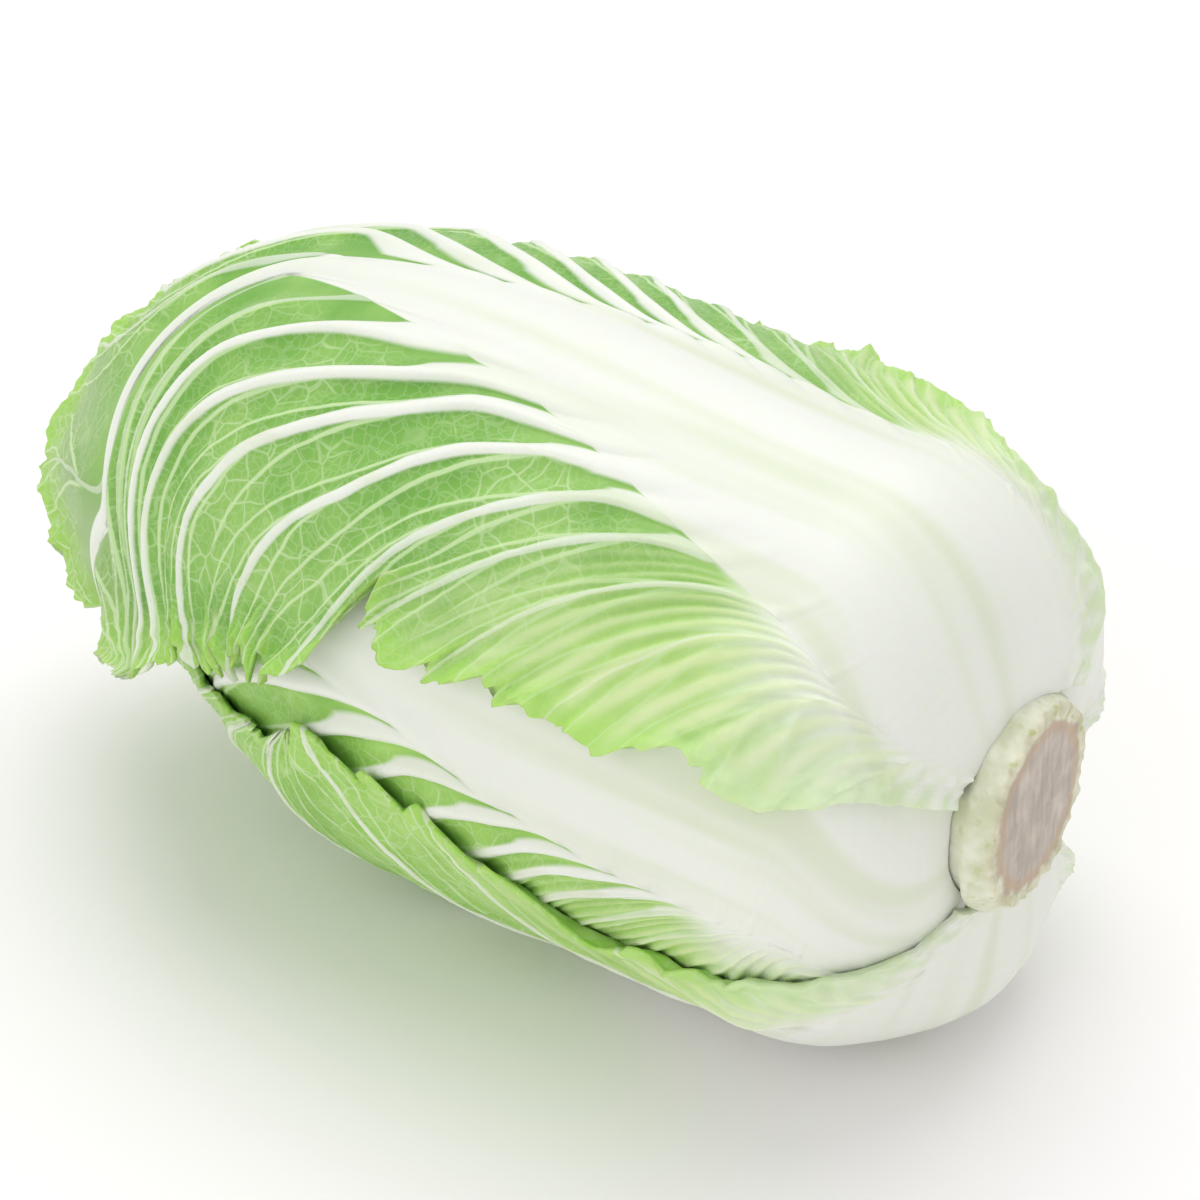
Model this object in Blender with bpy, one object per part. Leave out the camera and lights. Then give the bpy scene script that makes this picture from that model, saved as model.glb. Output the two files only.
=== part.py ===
"""Napa cabbage, lying on its side: a cut stem, a packed heart and five outer leaves.

Metres, +Z up. The head lies along X with its cut stem at +X and its leaf tips at -X.
Every leaf is a closed sheet wrapped over one guide surface, an egg-ended barrel. A point
on that surface is given by its arc, measured from the groove round the stem along a leaf,
and by its lateral angle round the head from the leaf's own middle line.
Angles round the head are in degrees: 0 faces -Y, 90 is the top, 180 faces +Y.
"""

import bmesh
import bpy
import numpy as np

MM = 0.001

# Guide surface, measured along the head from the cut face of the stem
GROOVE_A = 5.0 * MM        # where the leaf bases leave the stem
GROOVE_R = 26.0 * MM
SHOULDER_A = 42.0 * MM     # end of the rounded shoulder
SHOULDER_R = 76.5 * MM
CAP_A = 165.0 * MM         # start of the rounded tip
CAP_R = 84.0 * MM
CAP_LENGTH = 147.0 * MM
AXIS_Z = 81.0 * MM         # height of the head's axis over the surface it lies on
CUT_X = 153.4 * MM         # place of the cut face along X
AXIS_Y = 4.7 * MM

# Underside, flattened by the head's own weight
REST_LEVEL = -2.2 * MM
REST_SOFTNESS = 2.5 * MM
INNER_REST = 1.4 * MM      # least height of a leaf's inner face over the surface

# Stem
STEM_R = 24.0 * MM
STEM_SEAT_R = 25.6 * MM    # inside the ring of leaf bases
STEM_SEAT_END = 23.0 * MM
CORE_R = 16.5 * MM
CORE_END = 72.0 * MM
CORE_TIP_R = 3.5 * MM
CUT_LEAN_SIDE = 0.095      # slope of the cut face across the head
CUT_LEAN_UP = -0.08        # slope of the cut face up the head
STEM_SIDES = 36

# Heart
HEART_DEPTH = 20.0 * MM    # under the guide surface along the body
HEART_DEPTH_TIP = 24.0 * MM
HEART_FOLD = 1.6 * MM      # height of the folds of its packed leaves
POCKET_GAP = 0.5 * MM      # round the stem's core

# Leaf sheets
BLADE = 1.5 * MM           # thickness of the green blade
RIB_HEIGHT = 2.8 * MM      # side ribs over the blade, next to the white midrib
RIB_TIP_LOSS = 0.45        # share of the ribs' height lost on the tip
ZONE = ((0, 40), (40, 38), (60, 36), (95, 27), (130, 20), (170, 14), (205, 9), (240, 7),
        (300, 5), (400, 3))          # arc in mm, half width of the white midrib in degrees
THICKNESS = ((0, 8), (60, 7.5), (120, 6), (170, 4.2), (205, 2.4), (240, 2.0), (400, 1.7))
SWELL = ((0, 0), (30, 2.2), (100, 2.8), (170, 2.4), (240, 1.8), (300, 1.2), (400, 0.4))
HEEL_ARC = 30.0            # mm along a leaf to the fullest place of a swollen base
HEEL_SPREAD = 18.0
TIP_BLEND = 30.0           # degrees of the tip over which the leaves change their order
SEED = 7


def smooth(value):
    """Ease from 0 to 1."""
    value = np.clip(value, 0.0, 1.0)
    return value * value * (3.0 - 2.0 * value)


def along(points, arc):
    """Read a curve through (arc in mm, value) points, with its corners rounded off."""
    knots = np.array(points, float)
    reach = np.array([-6.0, -3.0, 0.0, 3.0, 6.0]) * MM
    samples = [np.interp(arc + step, knots[:, 0] * MM, knots[:, 1]) for step in reach]
    return np.mean(samples, axis=0)


SHOULDER_LENGTH = SHOULDER_A - GROOVE_A
SHOULDER_HEIGHT = SHOULDER_R - GROOVE_R
ARC_SHOULDER = np.pi / 2 * np.sqrt((SHOULDER_LENGTH**2 + SHOULDER_HEIGHT**2) / 2)
ARC_BODY = CAP_A - SHOULDER_A
ARC_CAP = np.pi / 2 * np.sqrt((CAP_R**2 + CAP_LENGTH**2) / 2)
ARC_POLE = ARC_SHOULDER + ARC_BODY + ARC_CAP


def guide(arc, lateral, centre):
    """Points and outward normals of the guide surface, and each point's tip blend."""
    arc, lateral, centre = np.broadcast_arrays(arc, lateral, centre)
    turn = np.radians(lateral)
    middle = np.radians(centre)

    phi = np.clip(arc / ARC_SHOULDER, 0.0, 1.0) * np.pi / 2
    run = np.clip((arc - ARC_SHOULDER) / ARC_BODY, 0.0, 1.0)
    a = SHOULDER_A - SHOULDER_LENGTH * np.cos(phi) + ARC_BODY * run
    r = GROOVE_R + SHOULDER_HEIGHT * np.sin(phi) + (CAP_R - SHOULDER_R) * smooth(run)
    slope = 6.0 * run * (1.0 - run) * (CAP_R - SHOULDER_R) / ARC_BODY
    lean = np.where(run > 0.0, slope, np.cos(phi) / SHOULDER_LENGTH)
    rise = np.where(run > 0.0, 1.0, np.sin(phi) / SHOULDER_HEIGHT)
    angle = middle + turn
    body = np.stack([a, r * np.cos(angle), r * np.sin(angle)], axis=-1)
    body_n = np.stack([-lean, rise * np.cos(angle), rise * np.sin(angle)], axis=-1)

    beta = np.maximum(arc - ARC_SHOULDER - ARC_BODY, 0.0) / ARC_CAP * np.pi / 2
    ahead = np.cos(turn) * np.sin(beta)
    out = np.cos(turn) * np.cos(beta)
    side = np.sin(turn)
    across = out * np.cos(middle) - side * np.sin(middle)
    up = out * np.sin(middle) + side * np.cos(middle)
    cap = np.stack([CAP_A + CAP_LENGTH * ahead, CAP_R * across, CAP_R * up], axis=-1)
    cap_n = np.stack([ahead / CAP_LENGTH, across / CAP_R, up / CAP_R], axis=-1)

    on_cap = (beta > 0.0)[..., None]
    point = np.where(on_cap, cap, body)
    normal = np.where(on_cap, cap_n, body_n)
    normal = normal / np.linalg.norm(normal, axis=-1, keepdims=True)
    polar = np.degrees(np.arcsin(np.clip(np.where(beta > 0.0, ahead, 0.0), 0.0, 1.0)))
    world = settle(place(point[..., 0], point[..., 1], point[..., 2]))
    return world, normal * np.array([-1.0, -1.0, 1.0]), smooth(polar / TIP_BLEND)


def place(a, across, up):
    """World place of a point: a along from the cut face, then toward -Y and up from the axis."""
    return np.stack([CUT_X - a, AXIS_Y - across, AXIS_Z + up], axis=-1)


def settle(point):
    """Press the underside of the guide surface flat."""
    z = REST_LEVEL + REST_SOFTNESS * np.logaddexp(0.0, (point[..., 2] - REST_LEVEL) / REST_SOFTNESS)
    return np.concatenate([point[..., :2], z[..., None]], axis=-1)


def add_object(name, points, faces, colour, roughness):
    """Make one closed, smooth-shaded object with its own material."""
    mesh = bpy.data.meshes.new(name)
    mesh.from_pydata([tuple(point) for point in points], [], faces)
    solid = bmesh.new()
    solid.from_mesh(mesh)
    bmesh.ops.triangulate(solid, faces=[face for face in solid.faces if len(face.verts) > 4])
    bmesh.ops.recalc_face_normals(solid, faces=solid.faces)
    solid.to_mesh(mesh)
    solid.free()
    mesh.shade_smooth()
    material = bpy.data.materials.new(name + "_finish")
    material.use_nodes = True
    shader = material.node_tree.nodes["Principled BSDF"]
    shader.inputs["Base Color"].default_value = (*colour, 1.0)
    shader.inputs["Roughness"].default_value = roughness
    shader.inputs["Metallic"].default_value = 0.0
    mesh.materials.append(material)
    piece = bpy.data.objects.new(name, mesh)
    bpy.context.collection.objects.link(piece)
    return piece


def grid_faces(rows, columns, start, flip):
    """Triangles over a grid of points. The cells are cut along their shorter diagonals,
    which lean the other way past the middle column, as the side ribs do."""
    faces = []
    for row in range(rows - 1):
        for column in range(columns - 1):
            first = start + row * columns + column
            a, b, c, d = first, first + 1, first + columns + 1, first + columns
            halves = ((a, b, c), (a, c, d)) if column < columns // 2 else ((a, b, d), (b, c, d))
            for face in halves:
                faces.append(face[::-1] if flip else face)
    return faces


def rim_faces(rows, columns, offset):
    """Triangles that close the edge between two equal grids of points."""
    loop = [column for column in range(columns)]
    loop += [row * columns + columns - 1 for row in range(1, rows)]
    loop += [(rows - 1) * columns + column for column in range(columns - 2, -1, -1)]
    loop += [row * columns for row in range(rows - 2, 0, -1)]
    faces = []
    for index, here in enumerate(loop):
        after = loop[(index + 1) % len(loop)]
        faces.append((here, after + offset, after))
        faces.append((here, here + offset, after + offset))
    return faces


def leaf(name, centre, layer, layer_tip, low, high, reach_low, reach_high, ribs, colour,
         layer_base=None, base_turn=0.0, bend=0.0, bend_span=(245, 365), zone_scale=1.0,
         body_scale=1.0, swell_scale=1.0, heel=0.0, columns=6, frill_low=None, frill_high=None,
         flare_low=None, flare_high=None, zone_high=ZONE, crooked=0.14):
    """One leaf: a thick white midrib with a ribbed blade on both sides, wrapped on the head.

    low and high are its two margins, as (arc, lateral angle) points from base to tip.
    reach_low and reach_high say how far forward a side rib has come where it meets its margin.
    """
    draw = np.random.default_rng(SEED + int(centre) % 360)
    steps_per_rib = 3
    count = ribs * steps_per_rib + 1
    length = low[-1][0] * MM
    rib_at = np.linspace(0.0, 1.0, ribs + 1) ** 1.12
    shift = np.zeros(ribs + 1)
    shift[1:-1] = draw.uniform(-crooked, crooked, ribs - 1) / ribs
    number = np.linspace(0, ribs, count)
    start = np.interp(number, np.arange(ribs + 1), rib_at + shift) * length
    crest = np.arange(count) % steps_per_rib == 0

    zone_columns = 3
    zone_part = np.linspace(0.0, 1.0, zone_columns + 1)
    blade_part = np.linspace(0.0, 1.0, columns + 1)[1:]
    sides = []
    for sign, margin, reach, white, frill, flare in (
            (-1, low, reach_low, ZONE, frill_low, flare_low),
            (1, high, reach_high, zone_high, frill_high, flare_high)):
        end = np.clip(along(reach, start) * MM, start, length)
        end[0] = start[0]
        ragged = draw.uniform(0.0, 1.0, count)
        ragged[1::2] *= 0.25
        grid_arc = []
        grid_lateral = []
        grid_lift = []
        grid_rib = []
        grid_zone = []
        for part in zone_part:
            grid_arc.append(start)
            zone = along(white, start) * zone_scale
            grid_zone.append(zone)
            edge = np.abs(along(margin, start) - bend_at(start, bend, bend_span))
            grid_lateral.append(bend_at(start, bend, bend_span)
                                + sign * np.minimum(zone, edge * 0.8) * part)
            grid_lift.append(np.zeros(count))
            grid_rib.append(np.zeros(count))
        for part in blade_part:
            arc = start + (end - start) * part ** 0.65
            zone = along(white, arc) * zone_scale
            grid_zone.append(zone)
            middle = bend_at(arc, bend, bend_span)
            outer = along(margin, arc)
            edge = np.abs(outer - middle)
            inner_edge = np.minimum(zone, edge * 0.8)
            width = edge - inner_edge
            notch = 1.0 - 0.09 * ragged * smooth((part - 0.5) / 0.5)
            grid_arc.append(arc)
            grid_lateral.append(middle + sign * (inner_edge + width * part * notch))
            lift = np.zeros(count)
            if flare:
                lift = lift + along(flare, arc) * MM * part**2
            if frill:
                lift = lift + along(frill, arc) * MM * ragged * smooth((part - 0.45) / 0.55)
            grid_lift.append(lift)
            fade = smooth(2.5 * part) * (1.0 - 0.6 * part)
            ends = np.minimum(smooth(start / (30 * MM)), smooth((length - start) / (40 * MM)))
            grid_rib.append(np.where(crest, RIB_HEIGHT * fade * ends, 0.0))
        sides.append([np.array(grid) for grid in (grid_arc, grid_lateral, grid_lift, grid_rib,
                                                  grid_zone)])

    arc, lateral, lift, rib, zone = [np.concatenate([low_grid[:0:-1], high_grid], axis=0).T
                                     for low_grid, high_grid in zip(*sides)]
    turned = centre + base_turn * (1.0 - smooth(arc / (50 * MM)))
    point, normal, tip = guide(arc, lateral, turned)
    base = layer if layer_base is None else layer_base
    at_body = base + (layer - base) * smooth(arc / (60 * MM))
    depth = (at_body + (layer_tip - layer) * tip) * MM

    middle = bend_at(arc, bend, bend_span)
    share = np.clip(np.abs(lateral - middle) / np.maximum(zone, 0.5), 0.0, 1.0)
    body = (along(THICKNESS, arc) * MM - BLADE) * body_scale * (1.0 - share**2)
    swell = along(SWELL, arc) * swell_scale + heel * np.exp(-((arc / MM - HEEL_ARC) / HEEL_SPREAD) ** 2)
    swell = swell * MM * (1.0 - share**2) ** 2
    rib = rib * (1.0 - RIB_TIP_LOSS * tip)
    outer = point + normal * (depth + lift + rib + swell)[..., None]
    inner = point + normal * (depth + lift - BLADE - body)[..., None]
    outer[..., 2] = np.maximum(outer[..., 2], 0.0)
    inner[..., 2] = np.maximum(inner[..., 2], INNER_REST)

    rows, across = arc.shape
    points = np.concatenate([outer.reshape(-1, 3), inner.reshape(-1, 3)])
    faces = grid_faces(rows, across, 0, False)
    faces += grid_faces(rows, across, rows * across, True)
    faces += rim_faces(rows, across, rows * across)
    return add_object(name, points, faces, colour, 0.45)


def bend_at(arc, bend, span):
    """How far a midrib has bent sideways from its own meridian, in degrees."""
    return bend * smooth((arc / MM - span[0]) / (span[1] - span[0]))


def turned_solid(name, profile, sides, shape, colour, roughness):
    """Revolve a closed profile of (along, radius) points, shaped by a function of the angle."""
    angles = np.arange(sides) * 2.0 * np.pi / sides
    points = []
    rings = []
    for index, (a, r) in enumerate(profile):
        if r == 0.0:
            rings.append([len(points)] * sides)
            points.append(shape(index, a, r, 0.0))
            continue
        rings.append(list(range(len(points), len(points) + sides)))
        points.extend(shape(index, a, r, angle) for angle in angles)
    faces = []
    for ring, after in zip(rings, rings[1:]):
        for side in range(sides):
            other = (side + 1) % sides
            corners = [ring[side], ring[other], after[other], after[side]]
            for face in (corners[:3], [corners[0], corners[2], corners[3]]):
                if len(set(face)) == 3:
                    faces.append(face)
    return add_object(name, np.array(points), faces, colour, roughness)


def stem():
    """The short cut stem, with its core running into the heart."""
    draw = np.random.default_rng(SEED)
    ragged = draw.uniform(-1.0, 1.0, (3, STEM_SIDES))
    profile = [(0.0, 0.0), (0.0, 0.35 * STEM_R), (0.0, 0.7 * STEM_R), (0.0, 0.93 * STEM_R),
               (0.8 * MM, STEM_R), (0.55 * GROOVE_A, STEM_R), (GROOVE_A, 0.985 * STEM_R),
               (1.4 * GROOVE_A, STEM_SEAT_R), (STEM_SEAT_END, STEM_SEAT_R),
               (STEM_SEAT_END, CORE_R), (0.5 * (STEM_SEAT_END + CORE_END), 0.62 * CORE_R),
               (CORE_END, CORE_TIP_R), (CORE_END, 0.0)]

    def shape(index, a, r, angle):
        if index in (4, 5, 6):
            r = r * (1.0 + 0.018 * ragged[index - 4][int(round(angle / (2 * np.pi) * STEM_SIDES))])
        across = r * np.cos(angle)
        up = r * np.sin(angle)
        if a < GROOVE_A:
            lean = CUT_LEAN_SIDE * across + CUT_LEAN_UP * up
            a = a - lean * (1.0 - a / GROOVE_A)
        return place(a, across, up)

    return turned_solid("stem", profile, STEM_SIDES, shape, (0.80, 0.72, 0.62), 0.6)


def heart():
    """The packed inner leaves as one folded solid, with a pocket for the stem's core."""
    sides = 34
    rows = 20
    arcs = np.linspace(0.0, 1.0, rows) ** 0.9 * ARC_POLE
    folds = 7.0

    def surface(arc, angle):
        degrees = np.degrees(angle)
        point, normal, tip = guide(arc, 0.0, degrees)
        wound = folds * angle / (2 * np.pi) + 2.2 * arc / ARC_POLE
        ridge = HEART_FOLD * (wound - np.floor(wound)) ** 1.5
        ridge = ridge * smooth(arc / (40 * MM)) * smooth((ARC_POLE - arc) / (30 * MM))
        depth = HEART_DEPTH + (HEART_DEPTH_TIP - HEART_DEPTH) * tip
        return point + normal * (ridge - depth)

    outside = [(arc, 1.0) for arc in arcs[::-1]]
    outside[0] = (ARC_POLE, 0.0)
    pocket = [(GROOVE_A + HEART_DEPTH, CORE_R + POCKET_GAP),
              (0.5 * (STEM_SEAT_END + CORE_END), 0.62 * CORE_R + 2 * POCKET_GAP),
              (CORE_END + POCKET_GAP, CORE_TIP_R + 2 * POCKET_GAP),
              (CORE_END + POCKET_GAP, 0.0)]

    def shape(index, a, r, angle):
        if index < rows:
            return surface(a, angle)
        return place(a, r * np.cos(angle), r * np.sin(angle))

    return turned_solid("heart", outside + pocket, sides, shape, (0.87, 0.89, 0.62), 0.5)


def leaves():
    """The five outer leaves, from the outermost to the innermost."""
    sweep = ((0, 0), (50, 112), (110, 188), (140, 240), (164, 282), (220, 330), (300, 372), (400, 400))
    leaf("leaf_top", 84, 0, 0,
         low=((0, -60), (14, -58), (36, -58), (50, -63), (130, -64), (165, -63), (185, -74),
              (240, -77), (300, -75), (345, -73), (380, -70), (400, -60)),
         high=((0, 56), (24, 54), (34, 39), (45, 31), (56, 29), (68, 33), (83, 40), (105, 46),
               (135, 56), (165, 62), (200, 62), (235, 58), (262, 36), (290, 12), (340, -8),
               (385, -30), (400, -46)),
         zone_high=((0, 38), (20, 32), (31, 26), (43, 23), (60, 19), (80, 18), (113, 19), (130, 18),
                    (145, 15.5), (168, 12), (185, 9.5), (240, 7), (300, 5), (400, 3)),
         reach_low=((0, 0), (48, 115), (90, 170), (125, 235), (150, 300), (180, 350), (220, 372),
                    (300, 393), (400, 400)),
         reach_high=sweep, ribs=15, colour=(0.72, 0.84, 0.50), bend=-50.0, bend_span=(240, 325),
         columns=6,
         flare_low=((0, 0), (30, 1), (130, 2.5), (270, 3), (330, 6), (370, 9), (400, 8)),
         frill_low=((0, 1), (60, 2.5), (200, 4), (300, 5), (360, 4), (400, 3)),
         flare_high=((0, 0), (50, 1), (75, 2), (100, 5), (125, 5), (160, 2), (230, 1), (315, 0),
                     (345, 4), (362, 8), (378, 8), (390, 5), (400, 2)),
         frill_high=((0, 0.5), (60, 1.5), (90, 4), (120, 4), (230, 3), (290, 3), (340, 5), (400, 3)))
    leaf("leaf_under", -92, 0, -9,
         low=((0, -38), (60, -37), (180, -36), (230, -40), (300, -44), (345, -34), (372, -4)),
         high=((0, 44), (9, 46), (20, 60), (38, 69), (56, 72), (79, 65), (113, 60), (123, 67),
               (134, 73), (154, 83), (170, 90), (185, 95), (240, 97), (290, 88), (330, 66),
               (355, 38), (372, 4)),
         reach_low=sweep, reach_high=sweep, ribs=12, colour=(0.76, 0.86, 0.56), columns=5,
         swell_scale=0.35, heel=5.0,
         flare_low=((0, 0), (60, 1), (150, 2), (190, 0)),
         frill_low=((0, 0.5), (60, 1), (110, 2.5), (160, 2.5), (200, 0)),
         flare_high=((0, 0), (60, 0), (100, 1), (145, 1.5), (163, 0.4), (180, -1.2), (220, -1.2),
                     (245, 0)),
         frill_high=((15, 0), (60, 1), (110, 3), (140, 3), (158, 0.5), (170, 0)))
    leaf("leaf_back", 150, -6, -4.5, layer_base=-5, zone_scale=0.78, body_scale=0.8, swell_scale=0.7,
         low=((0, -26), (60, -30), (95, -36), (170, -46), (230, -58), (300, -58), (350, -40), (388, -4)),
         high=((0, 32), (60, 42), (110, 47), (190, 50), (300, 56), (350, 42), (388, 4)),
         reach_low=sweep, reach_high=sweep, ribs=11, colour=(0.74, 0.85, 0.53), columns=4,
         flare_high=((0, 0), (60, 1.5), (250, 2.5), (388, 1)),
         frill_high=((0, 0.5), (60, 1), (110, 3), (250, 3), (340, 2), (388, 0)))
    leaf("leaf_front", 22, -6, -13.5, layer_base=-5, base_turn=-31.0, swell_scale=0.7,
         low=((0, -38), (40, -57), (60, -70), (170, -76), (250, -70), (310, -56), (345, -34), (366, -4)),
         high=((0, 50), (22, 34), (50, 23), (95, 32), (130, 38), (170, 44), (250, 56), (310, 52),
               (345, 30), (366, 4)),
         reach_low=sweep, reach_high=sweep, ribs=11, colour=(0.73, 0.85, 0.52), columns=4)
    leaf("leaf_rear", 208, -11, -18, layer_base=-8, zone_scale=0.62, body_scale=0.55, swell_scale=0.6,
         low=((0, -25), (95, -34), (170, -44), (250, -56), (310, -52), (340, -30), (356, -4)),
         high=((0, 20), (95, 29), (170, 40), (250, 52), (310, 48), (340, 28), (356, 4)),
         reach_low=sweep, reach_high=sweep, ribs=9, colour=(0.78, 0.87, 0.58), columns=3)


def main():
    for old in list(bpy.data.objects):
        bpy.data.objects.remove(old, do_unlink=True)
    stem()
    heart()
    leaves()


main()
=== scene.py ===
# %% [markdown]
# A napa cabbage in Blender.
# The head lies on its side: five outer leaves wrapped round a packed heart, on a short cut stem.
# The solids come in as a fixed frame, and this lesson makes a finer piece over each of them.

# %% Load the frame
from dataclasses import dataclass

import bmesh
import bpy
import numpy as np
from mathutils import Matrix, Vector


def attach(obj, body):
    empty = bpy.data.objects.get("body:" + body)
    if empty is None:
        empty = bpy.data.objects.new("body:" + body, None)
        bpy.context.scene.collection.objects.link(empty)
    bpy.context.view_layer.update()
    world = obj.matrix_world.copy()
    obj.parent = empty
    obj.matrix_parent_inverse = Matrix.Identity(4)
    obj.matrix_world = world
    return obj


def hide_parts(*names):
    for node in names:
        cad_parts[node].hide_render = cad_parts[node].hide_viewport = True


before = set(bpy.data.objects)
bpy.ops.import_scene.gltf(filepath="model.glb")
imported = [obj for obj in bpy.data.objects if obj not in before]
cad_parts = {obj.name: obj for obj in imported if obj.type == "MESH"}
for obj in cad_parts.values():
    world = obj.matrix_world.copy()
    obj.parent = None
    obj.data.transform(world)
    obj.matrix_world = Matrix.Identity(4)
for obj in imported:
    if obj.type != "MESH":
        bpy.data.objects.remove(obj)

MM = 0.001
TURN = 2.0 * np.pi
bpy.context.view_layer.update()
print("nodes:", ", ".join(sorted(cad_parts)))


# %% [markdown]
# Every leaf lies on one guide surface: a barrel with a rounded shoulder at the stem and an egg-shaped
# tip. The numbers are the head's own sizes. A point on the guide is an arc, measured along a leaf
# from the groove round the stem, and an angle round the head from the leaf's middle line.

# %% Sizes of the guide surface
GROOVE_A = 5.0 * MM
GROOVE_R = 26.0 * MM
SHOULDER_A = 42.0 * MM
SHOULDER_R = 76.5 * MM
CAP_A = 165.0 * MM
CAP_R = 84.0 * MM
CAP_LENGTH = 147.0 * MM
AXIS_Y = 4.7 * MM
AXIS_Z = 81.0 * MM
CUT_X = 153.4 * MM
REST_LEVEL = -2.2 * MM
REST_SOFTNESS = 2.5 * MM
TIP_BLEND = 30.0

SHOULDER_LENGTH = SHOULDER_A - GROOVE_A
SHOULDER_HEIGHT = SHOULDER_R - GROOVE_R
ARC_SHOULDER = np.pi / 2 * np.sqrt((SHOULDER_LENGTH**2 + SHOULDER_HEIGHT**2) / 2)
ARC_BODY = CAP_A - SHOULDER_A
ARC_CAP = np.pi / 2 * np.sqrt((CAP_R**2 + CAP_LENGTH**2) / 2)
ARC_POLE = ARC_SHOULDER + ARC_BODY + ARC_CAP
print(f"a leaf is {ARC_POLE / MM:.0f} mm long from the groove to the tip of the head")


# %% Small curves
WANDER_KNOTS = 997
WANDER_START = 400.0


def smooth(value):
    """Ease from 0 to 1."""
    value = np.clip(value, 0.0, 1.0)
    return value * value * (3.0 - 2.0 * value)


def along(points, arc):
    """Read a curve through (arc in mm, value) points, with its corners rounded off."""
    knots = np.array(points, float)
    reach = np.array([-6.0, -3.0, 0.0, 3.0, 6.0]) * MM
    samples = [np.interp(arc + step, knots[:, 0] * MM, knots[:, 1]) for step in reach]
    return np.mean(samples, axis=0)


def random_curve(at, count, seed):
    """A smooth random curve from -1 to 1 that turns about once a step, and repeats after count steps."""
    knots = np.random.default_rng(seed).uniform(-1.0, 1.0, count)
    cell = np.floor(at).astype(int)
    share = smooth(at - cell)
    return knots[cell % count] * (1.0 - share) + knots[(cell + 1) % count] * share


def wander(where, step, seed):
    """A random curve that turns about once every step of a length."""
    return random_curve(np.asarray(where) / step + WANDER_START, WANDER_KNOTS, seed)


# %% The guide surface
def place(a, across, up):
    """World place of a point: a along from the cut face, then toward -Y and up from the axis."""
    return np.stack([CUT_X - a, AXIS_Y - across, AXIS_Z + up], axis=-1)


def guide(arc, lateral, centre):
    """Points and outward normals of the guide surface, and each point's tip blend."""
    arc, lateral, centre = np.broadcast_arrays(arc, lateral, centre)
    turn = np.radians(lateral)
    middle = np.radians(centre)

    phi = np.clip(arc / ARC_SHOULDER, 0.0, 1.0) * np.pi / 2
    run = np.clip((arc - ARC_SHOULDER) / ARC_BODY, 0.0, 1.0)
    a = SHOULDER_A - SHOULDER_LENGTH * np.cos(phi) + ARC_BODY * run
    r = GROOVE_R + SHOULDER_HEIGHT * np.sin(phi) + (CAP_R - SHOULDER_R) * smooth(run)
    slope = 6.0 * run * (1.0 - run) * (CAP_R - SHOULDER_R) / ARC_BODY
    lean = np.where(run > 0.0, slope, np.cos(phi) / SHOULDER_LENGTH)
    rise = np.where(run > 0.0, 1.0, np.sin(phi) / SHOULDER_HEIGHT)
    angle = middle + turn
    body = np.stack([a, r * np.cos(angle), r * np.sin(angle)], axis=-1)
    body_n = np.stack([-lean, rise * np.cos(angle), rise * np.sin(angle)], axis=-1)

    beta = np.maximum(arc - ARC_SHOULDER - ARC_BODY, 0.0) / ARC_CAP * np.pi / 2
    ahead = np.cos(turn) * np.sin(beta)
    out = np.cos(turn) * np.cos(beta)
    side = np.sin(turn)
    across = out * np.cos(middle) - side * np.sin(middle)
    up = out * np.sin(middle) + side * np.cos(middle)
    cap = np.stack([CAP_A + CAP_LENGTH * ahead, CAP_R * across, CAP_R * up], axis=-1)
    cap_n = np.stack([ahead / CAP_LENGTH, across / CAP_R, up / CAP_R], axis=-1)

    on_cap = (beta > 0.0)[..., None]
    point = np.where(on_cap, cap, body)
    normal = np.where(on_cap, cap_n, body_n)
    normal = normal / np.linalg.norm(normal, axis=-1, keepdims=True) * np.array([-1.0, -1.0, 1.0])
    world = place(point[..., 0], point[..., 1], point[..., 2])
    world[..., 2] = REST_LEVEL + REST_SOFTNESS * np.logaddexp(
        0.0, (world[..., 2] - REST_LEVEL) / REST_SOFTNESS)
    polar = np.degrees(np.arcsin(np.clip(np.where(beta > 0.0, ahead, 0.0), 0.0, 1.0)))
    return world, normal, smooth(polar / TIP_BLEND)


# %% [markdown]
# The camera stands where the photograph was taken from: in front of the head, to the stem's side and
# above it. A long lens keeps the head's sides nearly parallel. It is made first, because every leaf
# is judged through it.

# %% Camera
def add_object(name, data):
    """Put an object with this data into the scene."""
    made = bpy.data.objects.new(name, data)
    bpy.context.collection.objects.link(made)
    return made


CAMERA_AZIMUTH = 41.85
CAMERA_ELEVATION = 31.9
CAMERA_ROLL = -1.9
CAMERA_DISTANCE = 0.730
CAMERA_LENS = 85.0
CAMERA_TARGET = Vector((0.0190, 0.0047, 0.0853))


def make_camera():
    """A camera turned round the head by its azimuth, elevation and roll."""
    azimuth, elevation, roll = np.radians([CAMERA_AZIMUTH, CAMERA_ELEVATION, CAMERA_ROLL])
    back = Vector((np.sin(azimuth) * np.cos(elevation), -np.cos(azimuth) * np.cos(elevation),
                   np.sin(elevation)))
    right = Vector((np.cos(azimuth), np.sin(azimuth), 0.0))
    up = back.cross(right)
    level = right * np.cos(roll) + up * np.sin(roll)
    rise = up * np.cos(roll) - right * np.sin(roll)
    data = bpy.data.cameras.new("view")
    data.lens = CAMERA_LENS
    data.sensor_width = 36.0
    camera = add_object("view", data)
    camera.matrix_world = Matrix((level, rise, back)).transposed().to_4x4()
    camera.matrix_world.translation = CAMERA_TARGET + back * CAMERA_DISTANCE
    bpy.context.scene.camera = camera
    return camera


camera = make_camera()
print("camera at", [round(value, 3) for value in camera.matrix_world.translation])


# %% [markdown]
# Shader maths reads best as plain expressions. A Field wraps one socket, and each operator on it adds
# a Math node. A Maker adds any other node in one call: its type, its settings, then its inputs.
# The same two classes write the materials and the geometry trees.

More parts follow.
